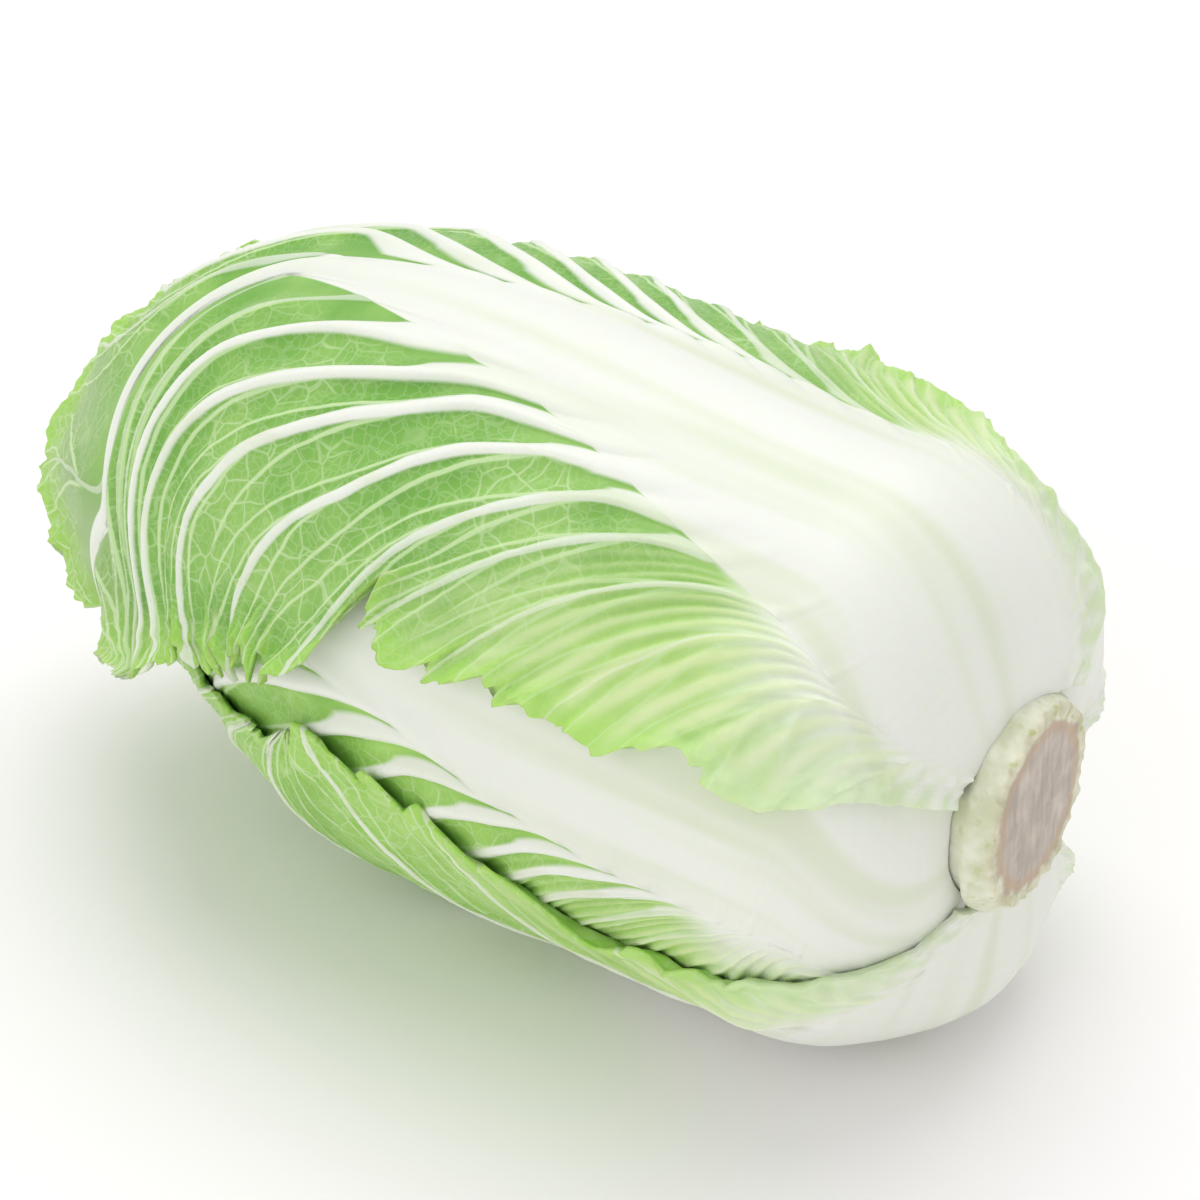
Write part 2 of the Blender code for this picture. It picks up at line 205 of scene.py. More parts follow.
# %% Sockets in expressions
def operator(operation, swapped=False):
    """A method that adds one Math node, with its two values swapped where the Field stands second."""
    def method(self, other):
        return self.maker.maths(operation, *((other, self) if swapped else (self, other)))
    return method


class Field:
    """A socket that takes part in Python expressions."""

    def __init__(self, maker, socket):
        self.maker = maker
        self.socket = socket

    __add__, __radd__ = operator("ADD"), operator("ADD", True)
    __sub__, __rsub__ = operator("SUBTRACT"), operator("SUBTRACT", True)
    __mul__, __rmul__ = operator("MULTIPLY"), operator("MULTIPLY", True)
    __truediv__, __rtruediv__ = operator("DIVIDE"), operator("DIVIDE", True)
    __pow__, least, most = operator("POWER"), operator("MINIMUM"), operator("MAXIMUM")

    def apply(self, operation):
        """Run a Math operation on this value alone."""
        return self.maker.maths(operation, self)

    def __abs__(self):
        return self.apply("ABSOLUTE")

    def ease(self, low, high):
        """0 below low, 1 above high, smooth between."""
        settings = {"interpolation_type": "SMOOTHSTEP"}
        return self.maker.node("ShaderNodeMapRange", settings, self, low, high, 0.0, 1.0)[0]


# %% Adding nodes
class Maker:
    """Adds nodes to one tree."""

    def __init__(self, tree):
        self.tree = tree

    def node(self, kind, settings=None, *values, **named):
        """Add a node, apply its settings, fill its inputs, and return its outputs as Fields."""
        made = self.tree.nodes.new(kind)
        for name, value in (settings or {}).items():
            setattr(made, name, value)
        sockets = [socket for socket in made.inputs if socket.enabled]
        pairs = list(zip(sockets, values))
        pairs += [(made.inputs[name.replace("_", " ")], value) for name, value in named.items()]
        for socket, value in pairs:
            if isinstance(value, Field):
                self.tree.links.new(value.socket, socket)
            else:
                socket.default_value = value
        return [Field(self, socket) for socket in made.outputs if socket.enabled]

    def maths(self, operation, *values):
        return self.node("ShaderNodeMath", {"operation": operation}, *values)[0]

    def mix(self, factor, first, second):
        """Blend two colours."""
        return self.node("ShaderNodeMix", {"data_type": "RGBA"}, factor, first, second)[0]

    def vector(self, operation, *values, **named):
        return self.node("ShaderNodeVectorMath", {"operation": operation}, *values, **named)[0]

    def combine(self, x, y, z):
        return self.node("ShaderNodeCombineXYZ", None, x, y, z)[0]

    def noise(self, where, scale, detail=2.0):
        return self.node("ShaderNodeTexNoise", None, where, Scale=scale, Detail=detail)[0]

    def cells(self, where, scale):
        """Distance to the nearest border between random cells, in cell sizes."""
        return self.node("ShaderNodeTexVoronoi", {"feature": "DISTANCE_TO_EDGE"}, where, Scale=scale)[0]


# %% [markdown]
# A leaf is described by a few curves along its length. For each side they say where the margin runs,
# where each side rib leaves the white midrib, how far forward that rib has come when it meets the
# margin, how strong the ribs are, and how much the margin flares and frills. They follow the curves
# of the solids, so each fine leaf lies where its solid lies.

# %% What a leaf is
SWEEP = ((0, 0), (50, 112), (110, 188), (140, 240), (164, 282), (220, 330), (300, 372), (400, 400))
ZONE = ((0, 40), (40, 38), (60, 36), (95, 27), (130, 20), (170, 14), (205, 9), (240, 7),
        (300, 5), (400, 3))
THICKNESS = ((0, 8), (60, 7.5), (120, 6), (170, 4.2), (205, 2.4), (240, 2.0), (400, 1.7))
SWELL = ((0, 0), (30, 2.2), (100, 2.8), (170, 2.4), (240, 1.8), (300, 1.2), (400, 0.4))
NONE = ((0, 0), (400, 0))
BLADE = 1.0 * MM
HEEL_ARC = 30.0
HEEL_SPREAD = 18.0
INNER_REST = 1.4 * MM
LINING = 1.7 * MM
ROOT_SWEEP = 26.0 * MM


# %% The halves of a leaf
def even_ribs(count, length, crooked, seed):
    """Places where side ribs leave the midrib, closer near the base, a little irregular."""
    share = np.linspace(0.0, 1.0, count + 1) ** 1.12
    shift = np.random.default_rng(seed).uniform(-crooked, crooked, count + 1) / count
    shift[0] = 0.0
    shift[-1] = 0.0
    return tuple((share + shift) * length)


@dataclass
class Side:
    """One half of a leaf, as curves of (arc in mm, value) points."""
    margin: tuple
    ribs: tuple
    reach: tuple = SWEEP
    lean: tuple = ((0, 0.65), (400, 0.65))
    white: tuple = ZONE
    strength: tuple = ((0, 0.2), (60, 0.45), (130, 0.8), (180, 0.8), (260, 0.5), (400, 0.3))
    flare: tuple = NONE
    frill: tuple = NONE
    tears: tuple = ()
    cut: float = 1.0


@dataclass
class Leaf:
    name: str
    centre: float
    layer: float
    layer_tip: float
    low: Side
    high: Side
    seed: int
    layer_base: float = None
    base_turn: float = 0.0
    bend: float = 0.0
    bend_span: tuple = (245, 365)
    zone_scale: float = 1.0
    body_scale: float = 1.0
    swell_scale: float = 1.0
    heel: float = 0.0
    pleat: tuple = ((0, 0.3), (120, 0.6), (400, 0.6))
    row_step: float = 1.7
    zone_columns: int = 14
    blade_columns: int = 46


# %% The outermost leaf
top_low = Side(
    margin=((0, -60), (14, -58), (36, -58), (50, -63), (130, -64), (165, -63), (185, -74), (240, -77),
            (300, -75), (345, -73), (380, -70), (400, -60)),
    ribs=(0, 14, 32, 48, 68, 90, 105, 125, 137, 160, 190, 215, 245, 290, 340, 400),
    reach=((0, 0), (48, 115), (68, 146), (90, 168), (105, 182), (125, 235), (137, 295), (160, 350),
           (190, 383), (240, 393), (400, 400)),
    lean=((0, 0.62), (48, 0.6), (68, 0.7), (90, 0.8), (105, 0.72), (125, 1.0), (137, 0.82),
          (160, 1.0), (400, 1.0)),
    white=((0, 42), (27, 44), (42, 40), (58, 35), (76, 30.5), (93, 27), (111, 23), (130, 18.7),
           (145, 16), (167, 12.7), (186, 11), (203, 9), (219, 6.5), (240, 3.8), (300, 2.0), (400, 0.8)),
    strength=((0, 0.02), (48, 0.06), (68, 0.2), (90, 0.4), (105, 0.6), (125, 0.75), (137, 0.9),
              (160, 1.0), (190, 1.0), (206, 0.2), (245, 0.1), (400, 0.1)),
    flare=((0, 0), (30, 1), (130, 2.5), (270, 3), (330, 6), (370, 9), (400, 8)),
    frill=((0, 1), (60, 4), (120, 5.5), (200, 5.5), (300, 5), (360, 4), (400, 3)),
    tears=((176, 3.5, 8.0), (120, 2.5, 3.0)))
top_high = Side(
    margin=((0, 56), (24, 54), (34, 39), (45, 31), (56, 29), (68, 33), (83, 40), (105, 46), (135, 56),
            (165, 62), (200, 62), (235, 58), (262, 36), (290, 12), (340, -8), (385, -30), (400, -46)),
    ribs=(0, 14, 30, 48, 68, 88, 106, 122, 134, 147, 160, 183, 203, 240, 310, 400),
    white=((0, 38), (20, 32), (31, 26), (43, 23), (60, 19), (80, 18), (113, 19), (130, 18),
           (145, 15.5), (168, 12), (185, 9.5), (205, 7), (240, 3.8), (300, 1.8), (400, 0.7)),
    strength=((0, 0.02), (68, 0.1), (106, 0.4), (122, 0.65), (147, 0.85), (183, 1.0), (203, 1.0),
              (225, 0.4), (290, 0.15), (400, 0.05)),
    flare=((0, 0), (50, 1), (75, 2), (100, 5), (125, 5), (160, 2), (230, 1), (315, 0), (345, 4),
           (362, 8), (378, 8), (390, 5), (400, 2)),
    frill=((0, 0.5), (60, 1.5), (90, 4), (120, 4), (230, 3), (290, 3), (340, 5), (400, 3)))
leaf_top = Leaf("leaf_top", 84, 0, 0, top_low, top_high, 11, bend=-50.0, bend_span=(240, 325),
                pleat=((0, 0.2), (60, 0.6), (200, 1.2), (270, 2.2), (360, 2.6), (400, 2)),
                row_step=1.42, zone_columns=18, blade_columns=62)

# %% The two leaves under it, at the front and below
under_low = Side(
    margin=((0, -38), (60, -37), (180, -36), (230, -40), (300, -44), (345, -34), (372, -4)),
    ribs=even_ribs(12, 372, 0.14, 21),
    flare=((0, 0), (60, 1), (150, 2), (190, 0)),
    frill=((0, 0.5), (60, 1), (110, 2.5), (160, 2.5), (200, 0)))
under_high = Side(
    margin=((0, 50), (9, 52), (20, 62), (38, 69), (56, 72), (79, 65), (113, 60), (123, 67), (134, 73),
            (154, 82), (170, 87), (185, 89), (240, 86), (290, 80), (330, 64), (355, 38), (372, 4)),
    ribs=even_ribs(12, 372, 0.14, 22),
    white=((0, 60), (40, 62), (70, 52), (100, 40), (130, 28), (170, 18), (205, 11), (240, 8),
           (300, 5), (400, 3)),
    flare=((0, -0.6), (20, -1.4), (40, -3), (60, -4), (130, -4.6), (160, -3.4), (200, -2.4),
           (300, -2.4), (340, -2), (372, 0)),
    frill=((15, 0), (50, 2), (80, 4), (115, 5.5), (140, 4), (170, 2), (200, 1), (240, 0)), cut=0.5)
leaf_under = Leaf("leaf_under", -92, 0, -9, under_low, under_high, 23, swell_scale=0.35, heel=5.0)

front_low = Side(
    margin=((0, -44), (40, -59), (60, -70), (170, -76), (250, -70), (310, -56), (345, -34), (366, -4)),
    ribs=(0, 14, 28, 42, 56, 68, 80, 91, 102, 117, 133, 150, 173, 200, 235, 275, 320, 366),
    white=((0, 40), (20, 48), (27, 45), (33, 41), (41, 37), (51, 32.5), (70, 31), (103, 31),
           (115, 28), (123, 26.5), (136, 25), (143, 22), (152, 19), (162, 17), (188, 13), (240, 8),
           (366, 3)),
    strength=((0, 0.05), (60, 0.15), (80, 0.7), (117, 0.9), (173, 1.0), (240, 0.6), (366, 0.3)))
front_high = Side(
    margin=((0, 50), (22, 34), (50, 23), (95, 32), (130, 38), (170, 44), (250, 56), (310, 52),
            (345, 30), (366, 4)),
    ribs=even_ribs(17, 366, 0.14, 42))
leaf_front = Leaf("leaf_front", 22, -6, -13.5, front_low, front_high, 43, layer_base=-2.5,
                  base_turn=-31.0, swell_scale=0.7)

# %% The two leaves behind
back_low = Side(
    margin=((0, -26), (60, -30), (95, -36), (170, -46), (230, -58), (300, -58), (350, -40), (388, -4)),
    ribs=even_ribs(12, 388, 0.14, 31))
back_high = Side(
    margin=((0, 32), (60, 42), (110, 47), (190, 50), (300, 56), (350, 42), (388, 4)),
    ribs=even_ribs(12, 388, 0.14, 32),
    flare=((0, 0), (60, 1.5), (250, 2.5), (388, 1)),
    frill=((0, 0.5), (60, 1), (110, 3), (250, 3), (340, 2), (388, 0)))
leaf_back = Leaf("leaf_back", 150, -6, -4.5, back_low, back_high, 33, layer_base=-5, zone_scale=0.78,
                 body_scale=0.8, swell_scale=0.7)

rear_low = Side(
    margin=((0, -25), (95, -34), (170, -44), (250, -56), (310, -52), (340, -30), (356, -4)),
    ribs=even_ribs(10, 356, 0.14, 51))
rear_high = Side(
    margin=((0, 20), (95, 29), (170, 40), (250, 52), (310, 48), (340, 28), (356, 4)),
    ribs=even_ribs(10, 356, 0.14, 52))
leaf_rear = Leaf("leaf_rear", 208, -11, -18, rear_low, rear_high, 53, layer_base=-8, zone_scale=0.62,
                 body_scale=0.55, swell_scale=0.6, row_step=2.2, zone_columns=10, blade_columns=34)
LEAVES = (leaf_top, leaf_under, leaf_front, leaf_back, leaf_rear)
print(len(LEAVES), "leaves described")


# %% [markdown]
# The sheet of a leaf is a grid whose rows follow the side ribs: over the midrib they curve away from
# the base, and over the blade they sweep forward to the margin. Rows stand closer near each rib, where
# the surface bends most. A margin is cut into lobes and teeth, and its edge is thrown into frills.

# %% Sizes of the margin
BLADE_SHARE = 0.8
DEEPEST_CUT = 0.35
CUT_ALONG_ROW = 1.8
MARGIN_SPARE = 3.0
LOBE_STEP = 11.0 * MM
LOBE_DEPTH = 8.0
POINT_DEPTH = 9.0
TOOTH_STEP = 3.6 * MM
TOOTH_DEPTH = 3.0
YOUNG_END = 95.0 * MM
YOUNG_FADE = 40.0 * MM
WAVER = 1.6 * MM
WAVER_STEP = 6.5 * MM
FOLD_STEP = 8.0 * MM
FOLD_WIDTH = 24.0 * MM
FOLD_PART = 0.65
CRUMPLE_STEP = 4.2 * MM
CRUMPLE_WIDTH = 11.0 * MM


# %% Rows that follow the ribs
def bend_at(leaf, arc):
    """How far the midrib has bent sideways from its own meridian, in degrees."""
    return leaf.bend * smooth((arc / MM - leaf.bend_span[0]) / (leaf.bend_span[1] - leaf.bend_span[0]))


def row_ends(side, start, length):
    """Where rows that leave the midrib at start meet the margin."""
    return np.clip(along(side.reach, start) * MM, start, length)


def bunched(share):
    """Steps from 0 to 1 that stand closer near both ends."""
    return share - 0.5 * np.sin(TURN * share) / TURN


def rib_rows(leaf):
    """Rib numbers of the rows, closer at the ribs and where ribs are far apart."""
    numbers = np.arange(len(leaf.low.ribs))
    length = leaf.low.margin[-1][0] * MM
    paths = []
    for side in (leaf.low, leaf.high):
        start = np.array(side.ribs, float) * MM
        paths += [start, row_ends(side, start, length)]
    gaps = np.max([np.diff(path) for path in paths], axis=0)
    rows = []
    for number, gap in zip(numbers, gaps):
        count = 2 * max(3, int(np.ceil(0.5 * gap / (leaf.row_step * MM))))
        rows.extend(number + bunched(np.arange(count) / count))
    return np.array(rows + [numbers[-1]])


def margin_cut(side, start, end, length, seed):
    """How far each row ends short of the margin: lobes, teeth and tears. Below 0 it ends beyond."""
    wide = np.abs(wander(end, LOBE_STEP, seed))
    small = np.abs(wander(end, TOOTH_STEP, seed + 1))
    rounded = LOBE_DEPTH * (1.0 - wide) ** 2.5 + TOOTH_DEPTH * (1.0 - small) ** 2
    pointed = POINT_DEPTH * wide + TOOTH_DEPTH * small
    young = 1.0 - smooth((end - YOUNG_END) / YOUNG_FADE)
    cut = rounded * (1.0 - young) + pointed * young - MARGIN_SPARE
    for place_at, half_width, depth in side.tears:
        cut = cut + depth * np.exp(-(((end / MM) - place_at) / half_width) ** 2)
    return cut * side.cut * MM * smooth(start / (25 * MM)) * smooth((length - start) / (30 * MM))


# %% One side of a leaf
def leaf_side(leaf, side, rows, sign):
    """Grids of arc, lateral angle, lift and the rest over one half of a leaf, midrib to margin."""
    length = leaf.low.margin[-1][0] * MM
    numbers = np.arange(len(side.ribs))
    both = (np.array(leaf.low.ribs, float) + np.array(leaf.high.ribs, float)) / 2.0
    start = np.interp(rows, numbers, np.array(side.ribs, float)) * MM
    middle_start = np.interp(rows, numbers, both) * MM
    swept = ROOT_SWEEP * smooth(middle_start / (90 * MM)) * smooth((length - middle_start) / (90 * MM))
    middle_start = middle_start - swept
    end = row_ends(side, start, length)

    zone_part = np.linspace(0.0, 1.0, leaf.zone_columns + 1)
    blade_part = bunched(np.linspace(0.0, 1.0, leaf.blade_columns + 1)[1:])
    zone_arc = middle_start[:, None] + (start - middle_start)[:, None] * zone_part**2
    share = np.concatenate([0.0 * zone_part, blade_part])[None, :]
    inside = np.concatenate([zone_part, 0.0 * blade_part + 1.0])[None, :]

    seed = leaf.seed + (5 if sign > 0 else 0)
    span = np.radians(np.abs(along(side.margin, end) - bend_at(leaf, end))) * CAP_R * BLADE_SHARE
    row_length = np.hypot(end - start, span)[:, None] + MM
    cut = CUT_ALONG_ROW * margin_cut(side, start, end, length, seed)[:, None]
    cut = np.minimum(cut / row_length, DEEPEST_CUT)
    reached = share * (1.0 - cut * share**2)
    lean = along(side.lean, start)[:, None]
    blade_arc = start[:, None] + (end - start)[:, None] * reached[:, len(zone_part):]**lean
    sideways = wander(end, WAVER_STEP, seed + 4)[:, None] * smooth((share - 0.7) / 0.3) * WAVER
    arc = np.concatenate([zone_arc, blade_arc], axis=1) + sideways * smooth(start / (40 * MM))[:, None]
    arc = np.clip(arc, 0.0, length)
    middle = bend_at(leaf, arc)
    edge = np.abs(along(side.margin, arc) - middle)
    white = along(side.white, arc) * leaf.zone_scale
    zone_edge = np.minimum(white, edge * 0.8)
    lateral = middle + sign * (zone_edge * inside + (edge - zone_edge) * reached)

    from_rim = (1.0 - share) * row_length
    folds = 0.5 + 0.5 * wander(end, FOLD_STEP, seed + 2)
    crumple = 0.5 + 0.5 * wander(end, CRUMPLE_STEP, seed + 3)
    rise = FOLD_PART * folds[:, None] * smooth(1.0 - from_rim / FOLD_WIDTH)
    rise = rise + (1.0 - FOLD_PART) * crumple[:, None] * smooth(1.0 - from_rim / CRUMPLE_WIDTH)
    rise = rise * smooth(share / 0.4)
    lift = (along(side.flare, arc) * share**2 + along(side.frill, arc) * rise) * MM
    crest = 0.5 + 0.5 * np.cos(TURN * rows)[:, None]
    lift = lift + along(leaf.pleat, arc) * MM * crest * smooth(share / 0.15) * smooth((1.1 - share) / 0.5)
    body_zone = np.minimum(along(ZONE, arc) * leaf.zone_scale, white)
    strength = along(side.strength, start)[:, None]
    return np.broadcast_arrays(arc, lateral, lift, share, inside, start[:, None], strength, body_zone)


# %% The whole sheet of a leaf
GAP_BLUR = 4


def row_distance(points, middle):
    """Distance along each row from the middle column."""
    steps = np.linalg.norm(np.diff(points, axis=1), axis=-1)
    reached = np.concatenate([np.zeros((len(points), 1)), np.cumsum(steps, axis=1)], axis=1)
    return np.abs(reached - reached[:, middle:middle + 1])


def leaf_sheet(leaf):
    """Both faces of a leaf as grids of points, with what the relief and the finish read."""
    rows = rib_rows(leaf)
    low = leaf_side(leaf, leaf.low, rows, -1)
    high = leaf_side(leaf, leaf.high, rows, 1)
    arc, lateral, lift, share, inside, origin, strength, zone = [
        np.concatenate([left[:, :0:-1], right], axis=1) for left, right in zip(low, high)]
    turned = leaf.centre + leaf.base_turn * (1.0 - smooth(arc / (50 * MM)))
    point, normal, tip = guide(arc, lateral, turned)
    base = leaf.layer if leaf.layer_base is None else leaf.layer_base
    depth = base + (leaf.layer - base) * smooth(arc / (60 * MM)) + (leaf.layer_tip - leaf.layer) * tip

    middle = bend_at(leaf, arc)
    off = np.clip(np.abs(lateral - middle) / np.maximum(zone, 0.5), 0.0, 1.0)
    body = (along(THICKNESS, arc) * MM - BLADE) * leaf.body_scale * (1.0 - off**2)
    swell = along(SWELL, arc) * leaf.swell_scale
    swell = swell + leaf.heel * np.exp(-((arc / MM - HEEL_ARC) / HEEL_SPREAD) ** 2)
    swell = swell * (1.0 - off**2) ** 2
    outer = point + normal * (depth * MM + lift + swell * MM)[..., None]
    lining = LINING * smooth((1.0 - share) / 0.12)
    inner = point + normal * (depth * MM + lift - BLADE - np.maximum(body, lining))[..., None]
    outer[..., 2] = np.maximum(outer[..., 2], 0.0)
    inner[..., 2] = np.maximum(inner[..., 2], INNER_REST)

    down_row = np.gradient(outer, axis=0) / np.gradient(rows)[:, None, None]
    down_column = np.gradient(outer, axis=1)
    area = np.linalg.norm(np.cross(down_row, down_column), axis=-1)
    gap = area / np.maximum(np.linalg.norm(down_column, axis=-1), 1e-7)
    padded = np.pad(gap, ((0, 0), (GAP_BLUR, GAP_BLUR)), mode="edge")
    gap = np.mean([padded[:, step:step + gap.shape[1]] for step in range(2 * GAP_BLUR + 1)], axis=0)
    centre_column = arc.shape[1] // 2
    walked = row_distance(outer, centre_column)
    zone_end = walked[:, [centre_column - leaf.zone_columns, centre_column + leaf.zone_columns]]
    left = np.arange(arc.shape[1]) < centre_column
    away = walked - np.where(left[None, :], zone_end[:, :1], zone_end[:, 1:])
    rim = np.where(left[None, :], walked[:, :1], walked[:, -1:]) - walked
    signed = np.radians(lateral - middle) * CAP_R * (0.4 + 0.6 * smooth(arc / ARC_SHOULDER))
    flat = np.stack([arc, signed, 0.0 * arc + 0.01 * leaf.seed], axis=-1)
    give = smooth((outer[..., 2] - 0.3 * MM) / (6 * MM))
    return outer, inner, {
        "out": normal, "spot": outer, "flat": flat, "number": rows[:, None] + 0.0 * arc, "gap": gap,
        "share": share, "inside": inside, "origin": origin, "strength": strength,
        "away": np.maximum(away, 0.0), "rim": rim, "give": give}


# %% [markdown]
# The two faces are joined at the rim into one closed sheet. The inner face is hidden nearly everywhere,
# so it has every second row and column only, and the rim is stitched two steps to one. Both faces are
# cut into triangles along like diagonals, so that the two faces of a thin, waved blade bend alike.

# %% Closing a sheet
def grid_faces(rows, columns, start, flip):
    """Triangles over a grid, cut along mirrored diagonals on the two halves of a leaf."""
    row, column = np.meshgrid(np.arange(rows - 1), np.arange(columns - 1), indexing="ij")
    a = (start + row * columns + column).ravel()
    b, c, d = a + 1, a + columns + 1, a + columns
    left = (column < columns // 2).ravel()[:, None]
    first = np.where(left, np.stack([a, b, c], 1), np.stack([a, b, d], 1))
    second = np.where(left, np.stack([a, c, d], 1), np.stack([b, c, d], 1))
    faces = np.concatenate([first, second])
    return faces[:, ::-1] if flip else faces


def rim_loop(rows, columns):
    """Grid points round the edge of a grid, in order."""
    return np.concatenate([np.arange(columns), np.arange(1, rows) * columns + columns - 1,
                           (rows - 1) * columns + np.arange(columns - 2, -1, -1),
                           np.arange(rows - 2, 0, -1) * columns])


def stitch_rims(rows, columns, offset):
    """Triangles between the edge of a grid and that of its coarser twin."""
    fine = rim_loop(rows, columns)
    coarse = rim_loop(rows // 2 + 1, columns // 2 + 1) + offset
    first, between = fine[0::2], fine[1::2]
    after, coarse_after = np.roll(first, -1), np.roll(coarse, -1)
    return np.concatenate([np.stack([first, coarse, between], 1),
                           np.stack([between, coarse, coarse_after], 1),
                           np.stack([between, coarse_after, after], 1)])


# %% Making the sheet's mesh
def add_mesh(name, points, faces, values):
    """Make an object of faces, with its point values."""
    mesh = bpy.data.meshes.new(name)
    mesh.from_pydata(points, [], faces)
    for label, value in values.items():
        kind = "FLOAT_VECTOR" if value.ndim == 2 else "FLOAT"
        field = mesh.attributes.new(label, kind, "POINT")
        field.data.foreach_set("vector" if value.ndim == 2 else "value", value.astype(np.float32).ravel())
    mesh.shade_smooth()
    return add_object(name, mesh)


def grow_sheet(leaf):
    """The closed sheet of one leaf, with its values on its points."""
    outer, inner, values = leaf_sheet(leaf)
    rows, columns = outer.shape[:2]
    count = rows * columns
    points = np.concatenate([outer.reshape(-1, 3), inner[::2, ::2].reshape(-1, 3)])
    faces = np.concatenate([grid_faces(rows, columns, 0, False),
                            grid_faces(rows // 2 + 1, columns // 2 + 1, count, True),
                            stitch_rims(rows, columns, count)])
    on_points = {}
    for label, value in values.items():
        shape = (-1, 3) if value.ndim == 3 else (-1,)
        on_points[label] = np.concatenate([value.reshape(shape), value[::2, ::2].reshape(shape)])
    on_points["face"] = (np.arange(len(points)) < count).astype(float)
    made = add_mesh(leaf.name + "_blade", points, faces, on_points)
    print(f"{leaf.name}: {rows} rows, {columns} columns, {len(faces)} triangles")
    return made


# %% [markdown]
# Veins are one pattern with two uses: geometry nodes raise it, and the finish paints it pale. So one
# function writes it into either kind of tree. Round side ribs thin toward the margin and spread into a
# web where they leave the midrib, branches leave each rib and curve to run beside it, and a net of
# small cells fills the rest.

# %% The vein pattern
BRANCHES = ((0.05, 0.47, 0.40), (0.36, 0.30, 0.22))
BRANCH_RUN = 0.75


def vein_fields(maker, read, sizes):
    """Fields of the ribs, their branches and the net, from a leaf's values."""
    share, inside, gap = read("share"), read("inside"), read("gap")
    strength, spot = read("strength"), read("spot", True)
    drift = maker.noise(spot, 45.0)
    number = read("number") + (drift - 0.5) * 0.16 * share.ease(0.0, 0.4)
    nearest = (number + 0.5).apply("FLOOR")
    aside = abs(number - nearest)
    toward = (number - nearest).apply("SIGN") * 0.5 + 0.5

    root = 1.0 - share.ease(0.0, 0.16)
    plain = sizes["Rib Width"] * (0.2 + 0.8 * strength) * (1.0 - 0.45 * share)
    width = (plain * (1.0 + 1.9 * root * strength)).least(gap * (0.3 + 0.18 * root))
    dome = (1.0 - (aside * gap / width) ** 2.0).most(0.0)
    rib = dome * inside.ease(0.62, 1.0) * strength.ease(0.0, 0.12)

    branch = None
    for order, (begin, base_end, tip_end) in enumerate(BRANCHES):
        key = maker.combine(nearest * 1.7 + sizes["Seed"], toward + 3.1 * order, 0.0)
        rolled = maker.node("ShaderNodeTexWhiteNoise", {"noise_dimensions": "2D"}, key)[0]
        run = ((share - begin - 0.14 * rolled) / BRANCH_RUN).most(0.0).least(1.0)
        final = (base_end + (tip_end - base_end) * toward) * (0.85 + 0.3 * rolled)
        path = final * (1.0 - (1.0 - run) ** 1.4)
        thick = sizes["Branch Width"] * (1.05 - 0.6 * share)
        line = (1.0 - abs(aside - path) * gap / thick).ease(0.0, 0.8) * run.ease(0.0, 0.12)
        branch = line if branch is None else branch.most(line)
    branch = branch * (1.0 - aside.ease(0.40, 0.49)) * (1.0 - rib)

    bent = maker.node("ShaderNodeTexNoise", None, spot, Scale=75.0, Detail=2.0)[1]
    shift = maker.vector("SCALE", maker.vector("SUBTRACT", bent, (0.5, 0.5, 0.5)), Scale=0.006)
    warped = maker.vector("ADD", spot, shift)
    net = maker.cells(warped, 1.0 / sizes["Net Size"])
    fine = maker.cells(warped, 2.6 / sizes["Net Size"])
    return {"rib": rib, "height": width.least(plain) * rib, "branch": branch, "net": net, "fine": fine}


# %% Sizes of the veins
def vein_sizes(leaf):
    """What the pattern needs for one leaf."""
    return {"Rib Width": 2.9 * MM if leaf.name == "leaf_top" else 2.6 * MM, "Branch Width": 1.15 * MM,
            "Net Size": 7.5 * MM, "Seed": float(leaf.seed)}


def relief_sizes(leaf):
    """How high each part of the relief stands on one leaf."""
    outermost = leaf.name in ("leaf_top", "leaf_under")
    return {"Rib Rise": 0.65,
            "Branch Height": 0.6 * MM, "Net Height": 0.25 * MM, "Puff Height": 1.0 * MM,
            "Crumple Height": (2.6 if outermost else 1.2) * MM, "Crumple Size": 9.0 * MM,
            "Bubble Height": (1.8 if outermost else 0.8) * MM, "Bubble Size": 4.5 * MM,
            "Fold Height": 0.5 * MM, "Flute Height": 0.6 * MM}


# %% [markdown]
# The relief repeats over the leaf, so Geometry Nodes raise it, with one named input for each size. Near
# the margin the blade puffs up between its veins and crumples, near the base it lies in fine pleats, and
# the midrib has long, shallow flutes.

# %% Pleats and flutes, for both kinds of tree
PLEATS_PER_RIB = 4.0
PLEAT_DRIFT = 4.0
FLUTE_STRETCH = (6.0, 75.0)


def pleat_wave(maker, number, spot):
    """Fine pleats between the ribs, from -1 to 1."""
    return (number * (TURN * PLEATS_PER_RIB) + maker.noise(spot, 30.0) * PLEAT_DRIFT).apply("SINE")


def flute_place(maker, flat, seed):
    """Where to read the noise of the midrib's flutes: close together across it, long along it."""
    parts = maker.node("ShaderNodeSeparateXYZ", None, flat)
    return parts[0], maker.combine(parts[0] * FLUTE_STRETCH[0], parts[1] * FLUTE_STRETCH[1], seed)


# %% The relief tree
BROAD_BRANCH = 1.9


def add_input(tree, name, kind):
    """Add a named input to a tree and return its identifier."""
    return tree.interface.new_socket(name, in_out="INPUT", socket_type=kind).identifier


